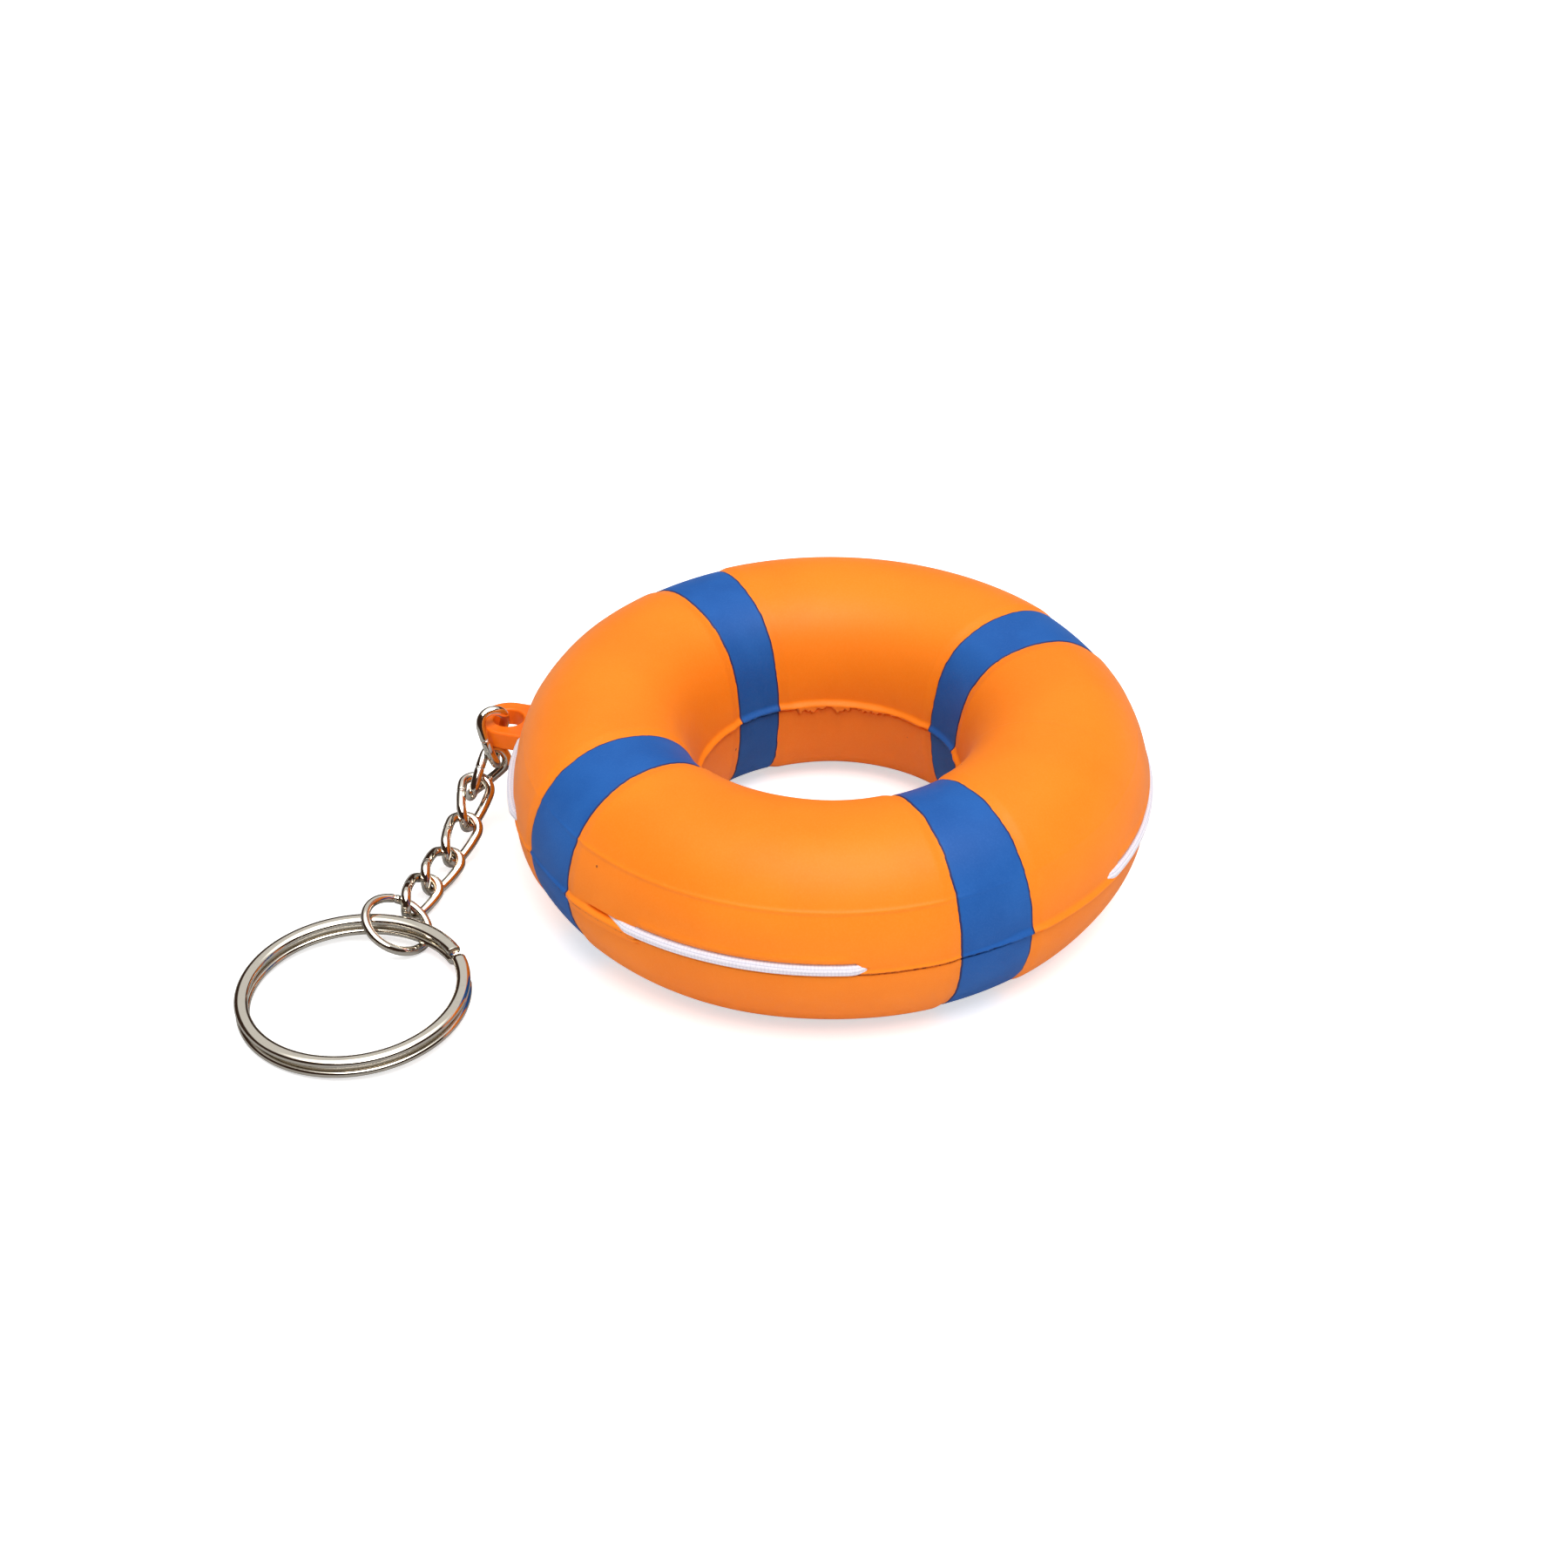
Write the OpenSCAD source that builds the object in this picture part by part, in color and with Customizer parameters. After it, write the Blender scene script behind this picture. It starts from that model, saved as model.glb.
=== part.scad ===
// Lifebuoy key ring: a moulded foam lifebuoy with four painted bands, an elastic
// grab cord, an eyelet tab, a six-link curb chain, a jump ring and a split ring.
// Millimetres, +Z up. The origin is the centre of the lifebuoy's hole, on its
// parting plane; the eyelet tab points along -X and the chain lies on the table.

/* [Foam ring] */
// Outside diameter of the foam ring
ring_d = 70; // [60:0.5:90]
// Width of the foam tube, measured along a radius
tube_w = 21; // [17:0.5:24]
// Height of the foam tube before its foot is ground flat
tube_h = 23.4; // [22:0.2:28]
// Depth of the narrow flat ground on the underside
foot_cut = 0.2; // [0.1:0.05:0.5]

/* [Painted bands] */
// Width of a band at the middle of the foam tube
band_w = 7; // [4:0.5:12]
// How much wider a band is at the outside of the ring than at the hole
band_flare = 1.8; // [0:0.1:3]
// Thickness of the paint
band_t = 0.15; // [0.1:0.05:0.4]
// Direction of each band from the ring's centre
band_angles = [45.8, 138.5, 226.5, 315.5];

/* [Elastic cord] */
// Diameter of the elastic cord
cord_d = 1.5; // [1.2:0.1:2]
// How far the cord stands out of the foam where it shows
cord_proud = 0.5; // [0.3:0.1:0.7]
// Angle over which one stretch follows the outside of the ring
cord_span = 39; // [30:1:46]
// Direction of the middle of each showing stretch
cord_angles = [4.5, 96, 187, 269];
// Radius of the bend where the cord dives into the foam
cord_bend = 3; // [2:0.5:7]

/* [Eyelet tab] */
// Thickness of the tab
tab_t = 2.2; // [2:0.1:2.6]
// Outside diameter of the eye
eye_d = 6.5; // [6:0.1:7.5]
// Diameter of the hole in the eye
eye_hole = 3.4; // [3.2:0.1:4]
// How far the hole's centre stands off the foam
eye_reach = 2.5; // [2.3:0.1:4]
// Depth of the stem inside the foam
stem_depth = 5; // [4:0.5:8]
// Width of the anchor bar at the stem's inner end
anchor_w = 10; // [8:0.5:14]
// Length of the anchor bar along the stem
anchor_l = 1.6; // [1.2:0.1:2.4]

/* [Curb chain] */
// Wire diameter of a chain link
link_wire = 1.1; // [0.9:0.05:1.2]
// Outside length of a chain link
link_l = 7.4; // [7:0.05:8.5]
// Outside width of a chain link
link_w = 4.35; // [4.2:0.05:5]
// Twist of a link from one crown to the other
link_twist = -80; // [-95:1:-70]
// Clearance left between two engaged wires
link_play = 0.12; // [0.08:0.01:0.25]

/* [Jump ring] */
// Wire diameter of the jump ring
jump_wire = 1; // [0.8:0.05:1.2]
// Outside diameter of the jump ring
jump_d = 8.3; // [8:0.1:10]
// Angle of the slit where the jump ring closes
jump_slit = 3; // [2:0.5:6]

/* [Split ring] */
// Outside diameter of the split ring
split_d = 25; // [22:0.5:30]
// Radial width of the split ring's flattened wire
split_wire_w = 1.5; // [1.2:0.1:2]
// Thickness of the split ring's flattened wire
split_wire_t = 0.9; // [0.8:0.05:1.1]
// Gap between the two turns
split_gap = 0.43; // [0.42:0.01:0.6]
// Angle over which the wire climbs from the lower turn to the upper
split_cross = 40; // [30:1:60]

/* [Hidden] */
// Running clearance between the foam and the parts moulded into it
fit_gap = 0.03;
// Radius of the tube's middle circle and height of its straight flank
tube_r = (ring_d - tube_w) / 2;
flank_h = tube_h - tube_w;
// Height of the table below the parting plane
table_z = -(tube_h / 2 - foot_cut);
// Radius at which the cord's centre runs where it shows
cord_r = ring_d / 2 + cord_proud - cord_d / 2;
// Centre of the eye
eye_x = -(ring_d / 2 + eye_reach);
// The cord's pieces stop this far short of each joint, inside a slightly fuller bead
joint_trim = 0.05;
joint_swell = 0.03;
// Smooth circles
ring_fn = 180;

// ---------------------------------------------------------------- foam ring
module tube_profile(grow) {
  for (side = [-1, 1])
    translate([tube_r, side * flank_h / 2])
      circle(r = tube_w / 2 + grow, $fn = 96);
  translate([tube_r, 0])
    square([tube_w + 2 * grow, flank_h], center = true);
}

module tube_body(grow) {
  difference() {
    rotate_extrude($fn = ring_fn) tube_profile(grow);
    translate([0, 0, table_z - ring_d])
      cylinder(r = ring_d, h = ring_d, $fn = 64);
  }
}

module foam_ring() {
  color("darkorange")
    difference() {
      tube_body(0);
      cord_path(cord_d / 2 + fit_gap);
      tab_shape(fit_gap);
    }
}

// -------------------------------------------------------------- painted bands
module band_prism() {
  far = 2 * tube_r;
  half_in = band_w / 2 - band_flare / 2 * (tube_r / (tube_w / 2));
  half_out = band_w / 2 + band_flare / 2 * (tube_r / (tube_w / 2));
  translate([0, 0, -tube_h])
    linear_extrude(height = 2 * tube_h)
      polygon([
        [0, -half_in],
        [far, -half_out],
        [far, half_out],
        [0, half_in]
      ]);
}

module blue_band(index) {
  color("royalblue")
    rotate([0, 0, band_angles[index]])
      intersection() {
        difference() {
          tube_body(band_t);
          rotate_extrude($fn = ring_fn) tube_profile(0);
        }
        band_prism();
      }
}

// --------------------------------------------------------------- elastic cord
// The cord is one closed loop. Between two showing stretches it dives into the
// foam through a short bend, crosses under a painted band as a straight chord
// and comes out again through a second bend.
function gap_after(i) =
  let (next = i == 3 ? cord_angles[0] + 360 : cord_angles[i + 1])
  next - cord_angles[i] - cord_span;

module cord_arc(radius, from, sweep, wire_r) {
  trim = joint_trim / radius * 180 / PI;
  rotate([0, 0, from + trim])
    rotate_extrude(angle = sweep - 2 * trim, $fn = ring_fn)
      translate([radius, 0])
        circle(r = wire_r, $fn = 32);
}

module cord_joint(radius, angle, wire_r) {
  rotate([0, 0, angle])
    translate([radius, 0, 0])
      sphere(r = wire_r + joint_swell, $fn = 32);
}

module cord_stretch(i, wire_r) {
  cord_arc(cord_r, cord_angles[i] - cord_span / 2, cord_span, wire_r);
}

module cord_crossing(i, wire_r) {
  turn = gap_after(i) / 2;
  pivot = cord_r - cord_bend;
  chord_x = pivot * cos(turn) + cord_bend;
  chord_half = pivot * sin(turn);
  rotate([0, 0, cord_angles[i] + cord_span / 2 + turn]) {
    for (side = [-1, 1]) {
      rotate([0, 0, side * turn])
        translate([pivot, 0, 0]) {
          cord_arc(cord_bend, side > 0 ? -turn : 0, turn, wire_r);
          cord_joint(cord_bend, 0, wire_r);
          cord_joint(cord_bend, -side * turn, wire_r);
        }
    }
    translate([chord_x, chord_half - joint_trim, 0])
      rotate([90, 0, 0])
        cylinder(r = wire_r, h = 2 * (chord_half - joint_trim), $fn = 32);
  }
}

module cord_path(wire_r) {
  for (i = [0:3]) {
    cord_stretch(i, wire_r);
    cord_crossing(i, wire_r);
  }
}

module elastic_cord() {
  color("white")
    cord_path(cord_d / 2);
}

// ----------------------------------------------------------------- eyelet tab
module tab_outline(grow) {
  inner_x = -(ring_d / 2 - stem_depth);
  translate([eye_x, 0])
    circle(d = eye_d + 2 * grow, $fn = 96);
  translate([eye_x, -eye_d / 2 - grow])
    square([inner_x - eye_x + grow, eye_d + 2 * grow]);
  translate([inner_x - anchor_l - grow, -anchor_w / 2 - grow])
    square([anchor_l + 2 * grow, anchor_w + 2 * grow]);
}

module tab_shape(grow) {
  translate([0, 0, -tab_t / 2 - grow])
    linear_extrude(height = tab_t + 2 * grow)
      tab_outline(grow);
}

module eyelet_tab() {
  color("orangered")
    difference() {
      tab_shape(0);
      translate([eye_x, 0, -tab_t])
        cylinder(d = eye_hole, h = 2 * tab_t, $fn = 64);
      cord_stretch(2, cord_d / 2 + fit_gap);
    }
}

// ----------------------------------------------------------------- curb chain
// How each link lies: heading of its long axis, its dip below the level before
// the chain is hung, its roll, and its slack in wire diameters
link_lie = [
  [-67.5, 80.15, 125.6, 0],
  [-120.5, 39.5, -100, 0.34],
  [-88.2, 27.4, 129.4, 1.22],
  [-94.2, 15.6, -48, 0.07],
  [-96.9, 2.65, -43, 0.11],
  [-94.4, -0.1, 132, 0.01]
];
// Where link 1's upper crown sits on the eye: its direction, its share of the
// rim's middle radius, and its height over the tab in wire diameters
first_crown = [233, 0.84, 1.564];
rim_r = (eye_d + eye_hole) / 4;
hang_point = [
  eye_x + first_crown[1] * rim_r * cos(first_crown[0]),
  first_crown[1] * rim_r * sin(first_crown[0]),
  tab_t / 2 + first_crown[2] * link_wire
];
// Half length and half width of a link, to the middle of its wire
link_hl = (link_l - link_wire) / 2;
link_hw = (link_w - link_wire) / 2;
// Height of the last link's lower crown, which lies on the table on its edge
lying_z = table_z + link_wire / 2 + 1.04 * link_hw;

function long_axis(head, dip) =
  [cos(head) * cos(dip), sin(head) * cos(dip), -sin(dip)];
function side_axis(head, dip, roll) =
  [-sin(head), cos(head), 0] * cos(roll)
  + [cos(head) * sin(dip), sin(head) * sin(dip), cos(dip)] * sin(roll);
function reach(i) = i == 0 ? 0 : link_wire + link_play;
function slack(i) = link_lie[i][3] * link_wire;
// The chain hangs just steeply enough for its last link to reach the table: one
// steepness, found by halving, multiplies the tangent of every link's dip
function steeper(dip, by) = atan2(by * sin(dip), cos(dip));
function drop(i, by) =
  i < 0 ? 0
        : drop(i - 1, by)
          + (2 * link_hl - reach(i)) * sin(steeper(link_lie[i][1], by))
          - (i == 0 ? 0 : slack(i) * sin(steeper(link_lie[i - 1][1], by)));
function halved(low, high, left) =
  let (middle = (low + high) / 2)
  left == 0 ? middle
  : drop(len(link_lie) - 1, middle) < hang_point[2] - lying_z
    ? halved(middle, high, left - 1)
    : halved(low, middle, left - 1);
steepness = halved(0, 20, 40);
function link_dip(i) = steeper(link_lie[i][1], steepness);
function link_u(i) = long_axis(link_lie[i][0], link_dip(i));
function link_v(i) = side_axis(link_lie[i][0], link_dip(i), link_lie[i][2]);
function upper_crown(i) =
  i == 0 ? hang_point
         : lower_crown(i - 1) - reach(i) * link_u(i) - slack(i) * link_u(i - 1);
function lower_crown(i) = upper_crown(i) + 2 * link_hl * link_u(i);

// Point of a flat racetrack at the fraction f of its length
straight = link_hl - link_hw;
track_len = 4 * straight + 2 * PI * link_hw;
function track(q) =
  q < 2 * straight ? [q - straight, -link_hw]
  : q < 2 * straight + PI * link_hw
    ? let (a = (q - 2 * straight) / link_hw * 180 / PI - 90)
      [straight + link_hw * cos(a), link_hw * sin(a)]
  : q < 4 * straight + PI * link_hw
    ? [3 * straight + PI * link_hw - q, link_hw]
  : let (a = (q - 4 * straight - PI * link_hw) / link_hw * 180 / PI + 90)
    [-straight + link_hw * cos(a), link_hw * sin(a)];
function twisted(p) =
  let (t = link_twist / 2 * p[0] / link_hl)
  [p[0], p[1] * cos(t), p[1] * sin(t)];
function wire_point(f) = twisted(track(f * track_len));
function unit(v) = v / norm(v);
function wire_ring(i, rings, sides) =
  let (
    f = i / rings,
    here = wire_point(f),
    ahead = wire_point(f + 0.01 - floor(f + 0.01)),
    behind = wire_point(f + 0.99 - floor(f + 0.99)),
    along = unit(ahead - behind),
    t = link_twist / 2 * here[0] / link_hl,
    plane = [0, -sin(t), cos(t)],
    n = unit(plane - (plane * along) * along),
    b = cross(along, n)
  )
  [for (k = [0:sides - 1])
    here + link_wire / 2 * (cos(360 * k / sides) * n + sin(360 * k / sides) * b)];
function placed(p, origin, u, v) =
  let (w = cross(u, v))
  origin + p[0] * u + p[1] * v + p[2] * w;
function loop_faces(rings, sides) =
  [for (i = [0:rings - 1], k = [0:sides - 1], half = [0, 1])
    let (
      j = (i + 1) % rings,
      m = (k + 1) % sides
    )
    half == 0 ? [i * sides + k, j * sides + k, j * sides + m]
              : [i * sides + k, j * sides + m, i * sides + m]];

module chain_link(i) {
  rings = 36;
  sides = 10;
  middle = (upper_crown(i) + lower_crown(i)) / 2;
  points = [for (r = [0:rings - 1], p = wire_ring(r, rings, sides))
    placed(p, middle, link_u(i), link_v(i))];
  color("silver")
    polyhedron(points = points, faces = loop_faces(rings, sides), convexity = 6);
}

// ------------------------------------------------------------------ jump ring
// Heading, dip and roll of the jump ring, and its slack in its wire's diameters
jump_lie = [-92.1, 0.7, -27.5, 0.05];
jump_r = (jump_d - jump_wire) / 2;
jump_u = long_axis(jump_lie[0], jump_lie[1]);
jump_mid =
  lower_crown(5)
  + (jump_r - (link_wire + jump_wire) / 2 - link_play) * jump_u
  - jump_lie[3] * jump_wire * link_u(5);
// Direction of the slit in the jump ring's own plane
slit_angle = 210;

module jump_ring() {
  color("silver")
    translate(jump_mid)
      rotate([jump_lie[2], jump_lie[1], jump_lie[0]])
        rotate([0, 0, slit_angle + jump_slit / 2])
          rotate_extrude(angle = 360 - jump_slit, $fn = 96)
            translate([jump_r, 0])
              circle(r = jump_wire / 2, $fn = 32);
}

// ----------------------------------------------------------------- split ring
// Heading from the jump ring's middle to the split ring's, and how far the jump
// ring's middle lies outside the split ring's wire, in widths of that wire
split_heading = -91.2;
split_overhang = 0.154;
// Lean of the split ring, which rests on the jump ring at one side
split_lean = [2.0, -2.4];
// Direction of the step, from the split ring's middle
split_step = 46;
split_r = (split_d - split_wire_w) / 2;
split_pitch = split_wire_t + split_gap;
split_h = split_pitch + split_wire_t;
split_travel = 720 - split_cross;
split_rings = 85;
split_corner = 0.35;
split_lift =
  sqrt(pow(sin(split_lean[0]) * cos(split_lean[1]), 2) + pow(sin(split_lean[1]), 2));
split_shift = split_r + split_overhang * split_wire_w;
split_mid = [
  jump_mid[0] + split_shift * cos(split_heading),
  jump_mid[1] + split_shift * sin(split_heading),
  table_z + split_h / 2 * cos(split_lean[0]) * cos(split_lean[1]) + split_d / 2 * split_lift
];
split_section = [for (q = [0:3], k = [0:2])
  let (
    a = 90 * q + 45 * k,
    sx = q == 0 || q == 3 ? 1 : -1,
    sy = q < 2 ? 1 : -1
  )
  [
    sx * (split_wire_w / 2 - split_corner) + split_corner * cos(a),
    sy * (split_wire_t / 2 - split_corner) + split_corner * sin(a)
  ]];
split_sides = len(split_section);
function split_rise(turned) =
  let (x = min(1, max(0, (turned - 360 + split_cross) / split_cross)))
  split_pitch * x * x * (3 - 2 * x);
function split_ring_points(i) =
  let (
    turned = split_travel * i / (split_rings - 1),
    a = split_step - split_cross - turned,
    z = split_rise(turned) - split_pitch / 2
  )
  [for (p = split_section)
    [(split_r + p[0]) * cos(a), (split_r + p[0]) * sin(a), z + p[1]]];
split_rows = [for (i = [0:split_rings - 1]) split_ring_points(i)];
split_faces = concat(
  [for (i = [0:split_rings - 2], k = [0:split_sides - 1], half = [0, 1])
    let (
      a = i * split_sides,
      b = a + split_sides,
      m = (k + 1) % split_sides
    )
    half == 0 ? [a + k, b + m, b + k]
              : [a + k, a + m, b + m]],
  [[for (k = [0:split_sides - 1]) split_sides - 1 - k]],
  [[for (k = [0:split_sides - 1]) (split_rings - 1) * split_sides + k]]
);
// Least gap between the two turns, measured between points of their skins
split_least = min([for (i = [0:split_rings - 1], j = [i + 20:split_rings - 1])
  if (j < split_rings
    && norm(split_rows[i][0] - split_rows[j][0]) < 2 * split_pitch)
    min([for (p = split_rows[i], q = split_rows[j]) norm(p - q)])]);
echo(split_ring_least_gap = split_least);

module split_ring() {
  color("silver")
    translate(split_mid)
      rotate([split_lean[0], split_lean[1], 0])
        polyhedron(
          points = [for (row = split_rows, p = row) p],
          faces = split_faces,
          convexity = 6
        );
}

// Lower crown and wire direction of every link, for the chain's hinges
for (i = [0:5])
  echo(
    link = i + 1,
    middle = (upper_crown(i) + lower_crown(i)) / 2,
    crown = lower_crown(i),
    wire = cos(link_twist / 2) * link_v(i)
      + sin(link_twist / 2) * cross(link_u(i), link_v(i))
  );
echo(steepness = steepness, jump = jump_mid, split = split_mid);

foam_ring();
blue_band(0);  // blue_band_1
blue_band(1);  // blue_band_2
blue_band(2);  // blue_band_3
blue_band(3);  // blue_band_4
elastic_cord();
eyelet_tab();
chain_link(0);  // chain_link_1
chain_link(1);  // chain_link_2
chain_link(2);  // chain_link_3
chain_link(3);  // chain_link_4
chain_link(4);  // chain_link_5
chain_link(5);  // chain_link_6
jump_ring();
split_ring();
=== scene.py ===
"""Dress for the lifebuoy key ring: a painted foam lifebuoy with its grab cord and
eyelet tab, a six-link curb chain, a jump ring and a split ring, on a white table."""
import math

import bpy
import numpy as np
from mathutils import Matrix, Vector


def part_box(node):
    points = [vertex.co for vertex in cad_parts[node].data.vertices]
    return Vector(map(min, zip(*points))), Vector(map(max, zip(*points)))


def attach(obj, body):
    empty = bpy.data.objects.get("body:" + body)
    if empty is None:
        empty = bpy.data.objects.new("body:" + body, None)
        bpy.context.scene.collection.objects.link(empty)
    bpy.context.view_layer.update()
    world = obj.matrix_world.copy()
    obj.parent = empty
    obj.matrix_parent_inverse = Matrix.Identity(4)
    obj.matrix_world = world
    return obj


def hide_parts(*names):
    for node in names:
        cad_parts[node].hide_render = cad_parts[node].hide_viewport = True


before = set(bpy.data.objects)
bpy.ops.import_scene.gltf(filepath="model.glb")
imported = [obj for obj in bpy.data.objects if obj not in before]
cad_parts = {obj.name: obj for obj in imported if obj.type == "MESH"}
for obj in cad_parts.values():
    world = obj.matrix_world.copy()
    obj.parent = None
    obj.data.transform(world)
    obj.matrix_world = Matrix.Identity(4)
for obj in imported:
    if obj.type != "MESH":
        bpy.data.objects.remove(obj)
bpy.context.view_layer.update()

MM = 0.001
TURN = 2 * math.pi

# ------------------------------------------------ sizes in mm, angles in degrees
# the foam ring: a tube laid round a circle whose middle is the origin
ring_mid = 24.5            # radius of the tube's middle circle
tube_half_w = 10.5
hole_half_w = 9.85         # the tube's half width on the side of the hole
tube_half_h = 11.7
tube_power = 2.13          # 2 is an ellipse, more is squarer
fuller_low_hole = 0.75     # how much squarer the tube is low down in the hole
fuller_top_hole = 0.25
leaner_low_rim = 0.13
shoulder_turn = 32.2       # how far up the tube the moulded shoulder line runs
mm_a_degree = 0.2          # about how long one degree of the tube's outline is
table_z = -11.5

# relief of the foam's skin
hole_seam_h = 0.46         # seam round the inside of the hole
burr_h = 0.10              # how much higher it is where a burr was torn off
hole_cut = 0.26            # depth of the cut just under it
rim_seam_h = 0.22          # seam round the outside
bead_h = 0.20              # what its fuller bead adds, on the right
fine_line_h = 0.08         # what it loses along its fine line, in front
flap_h = 0.24              # what the flap at the front cord's left end adds
flap_start = 228.0         # direction in which the flap begins to show
flap_end = 262.0
rim_cut = 0.30             # depth of the cut just under it
groove_depth = 1.5         # groove that the cord lies in
slit_depth = 0.95          # slit between the flap and the foam
tail_depth = 0.50          # groove's shallow end past the front cord's right end
swell_h = 0.14             # foam pushed up along the cord's upper side
shoulder_h = 0.13
left_hollow = 0.45         # how far the foam stands back behind the left cord
unevenness = 0.05
nick_size = 0.42           # nicks along the outer seam, seen in its colour

# painted bands
band_angles = [45.8, 138.5, 226.5, 315.5]
band_w = 7.0
band_flare = 1.8           # how much wider a band is at the rim than at ring_mid
band_paint = 0.05          # how far the paint stands off the foam
band_edge = 0.03           # how far its edges sink into the foam
band_bed = 0.12            # how far the foam under the paint is set back
band_waist = 0.24          # how far a band pinches the tube
waist_slope = 1.3

# grab cord
cord_r = 34.75             # radius of the stretches that lie outside
cord_d = 1.5
cord_flat = 0.90           # its height as a share of its width
cord_lift = 0.35           # the cord lies in the seam's upper lip
cord_span = 39.0
cord_angles = [4.5, 96.0, 187.0, 269.0]
cord_bend = 3.0
cord_sides = 60
cord_ribs = 10
rib_depth = 0.05

# eyelet tab
eye = Vector((-37.5, 0.0, 0.0))
eye_d = 6.5
eye_hole = 3.4
tab_t = 2.2
tab_rounding = 0.28
tab_dish = 0.06            # how far the upper face is dished
stem_end = -30.2

# chain
link_wire = 1.1
link_l = 7.4
link_w = 4.35
link_twist = -80.0
butt_slit = 0.0016         # half the slit at a butt joint, as a share of the wire
butt_joints = [0.09, 0.09, 0.07, 0.10, 0.17, 0.12]   # as shares of the wire

# jump ring
jump_wire = 1.0
jump_d = 8.3
jump_lie = (-27.5, 0.7, -92.1)   # turned about X, then Y, then Z
jump_slit = 1.35           # the slit's width, in degrees round the ring
jump_opening = 210.0       # direction of the slit

# split ring: one flat wire, followed clockwise from its lower end
split_d = 25.0
split_wire_w = 1.5
split_wire_t = 0.9
split_power = 2.3          # outline of the wire: 2 is an ellipse, more is squarer
split_gap = 0.43           # between the two turns
split_low_end = 26.0       # direction of the lower end
split_reach = 702.0        # how far round the wire goes
split_step = 340.0         # how far round it steps up
split_step_run = 9.0
split_lean = (2.0, -2.4)   # turned about X, then Y


# ---------------------------------------------------------------- mesh helpers
def tube_mesh(name, points, closed, capped=False):
    """A mesh from rows of points in mm, each row closed round. A closed mesh also
    joins its last row to its first, and a capped one fills both of them."""
    rows, cols = points.shape[:2]
    a, b = np.meshgrid(np.arange(rows if closed else rows - 1), np.arange(cols), indexing="ij")
    a2, b2 = (a + 1) % rows, (b + 1) % cols
    quads = np.stack([a * cols + b, a2 * cols + b, a2 * cols + b2, a * cols + b2], -1)
    faces = quads.reshape(-1, 4).tolist()
    if capped:
        faces.append(list(range(cols))[::-1])
        faces.append(list(range((rows - 1) * cols, rows * cols)))
    mesh = bpy.data.meshes.new(name)
    mesh.from_pydata((points.reshape(-1, 3) * MM).tolist(), [], faces)
    mesh.validate()
    mesh.polygons.foreach_set("use_smooth", [True] * len(mesh.polygons))
    mesh.update()
    piece = bpy.data.objects.new(name, mesh)
    bpy.context.scene.collection.objects.link(piece)
    return piece


def face_outward(piece):
    """Turns the faces of a closed mesh so that they look outward."""
    bpy.context.view_layer.update()
    mesh = piece.data
    volume = sum(
        mesh.vertices[p.vertices[0]].co.dot(p.normal) * p.area for p in mesh.polygons
    )
    if volume < 0:
        mesh.flip_normals()
    return piece


def dress(piece, body, finish, slot, *nodes):
    """Gives a piece its finish and body, and lets it stand for its CAD nodes."""
    piece.data.materials.append(finish)
    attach(piece, body)
    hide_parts(*nodes)
    return piece


def give_values(piece, name, values):
    """Stores one number for each vertex, for the piece's finish to read."""
    layer = piece.data.attributes.new(name, "FLOAT", "POINT")
    layer.data.foreach_set("value", np.asarray(values, np.float32).ravel())


def sweep(path, profile, normals, closed):
    """Points of a profile, in mm, carried along a path with given normals."""
    along = np.roll(path, -1, 0) - np.roll(path, 1, 0)
    if not closed:
        along[0] = path[1] - path[0]
        along[-1] = path[-1] - path[-2]
    along /= np.linalg.norm(along, axis=1)[:, None]
    n = normals - np.sum(normals * along, 1)[:, None] * along
    n /= np.linalg.norm(n, axis=1)[:, None]
    b = np.cross(along, n)
    x, y = profile[..., 0], profile[..., 1]
    return path[:, None] + x[..., None] * n[:, None] + y[..., None] * b[:, None]


def round_wire(diameter, count, sides, dulled):
    """Round profiles along a wire. The first two and the last two are smaller by
    the two amounts given, so that the cut ends aren't sharp."""
    around = np.linspace(0, TURN, sides, endpoint=False)
    radius = np.full(count, diameter / 2)
    radius[[0, -1]] -= dulled[0]
    radius[[1, -2]] -= dulled[1]
    return radius[:, None, None] * np.stack([np.cos(around), np.sin(around)], -1)


def smooth(low, high, x):
    """0 below low, 1 above high, and an easy slope between."""
    x = np.clip((x - low) / (high - low), 0, 1)
    return x * x * (3 - 2 * x)


def hump(x, width):
    """1 at 0, falling away on both sides over about a width."""
    return np.exp(-(x / width) ** 2)


def wander(x, pitch, seed):
    """A smooth random wave along x, between about -1 and 1."""
    count = 1024
    knots = np.random.RandomState(seed).uniform(-1, 1, count)
    at = np.asarray(x) / pitch
    low = np.floor(at).astype(int)
    part = at - low
    part = part * part * (3 - 2 * part)
    return knots[low % count] * (1 - part) + knots[(low + 1) % count] * part


def sector(angle, first, last, ease):
    """1 between two directions in degrees, easing to 0 outside them."""
    middle, half = (first + last) / 2, (last - first) / 2
    off = np.abs((angle - middle + 180) % 360 - 180)
    return 1 - smooth(half - ease / 2, half + ease / 2, off)


# -------------------------------------------------------------- the foam's skin
def band_half_width(radius):
    return band_w / 2 + band_flare / 2 * (radius - ring_mid) / tube_half_w


def band_edge_distance(x, y):
    """Distance in plan to the nearest band's edge, below 0 inside a band."""
    far_off = 99.0
    best = np.full(np.shape(x), far_off)
    for angle in np.radians(band_angles):
        along = x * np.cos(angle) + y * np.sin(angle)
        across = np.abs(-x * np.sin(angle) + y * np.cos(angle))
        gap = np.where(along > 0, across - band_half_width(along), far_off)
        best = np.minimum(best, gap)
    return best


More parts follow.
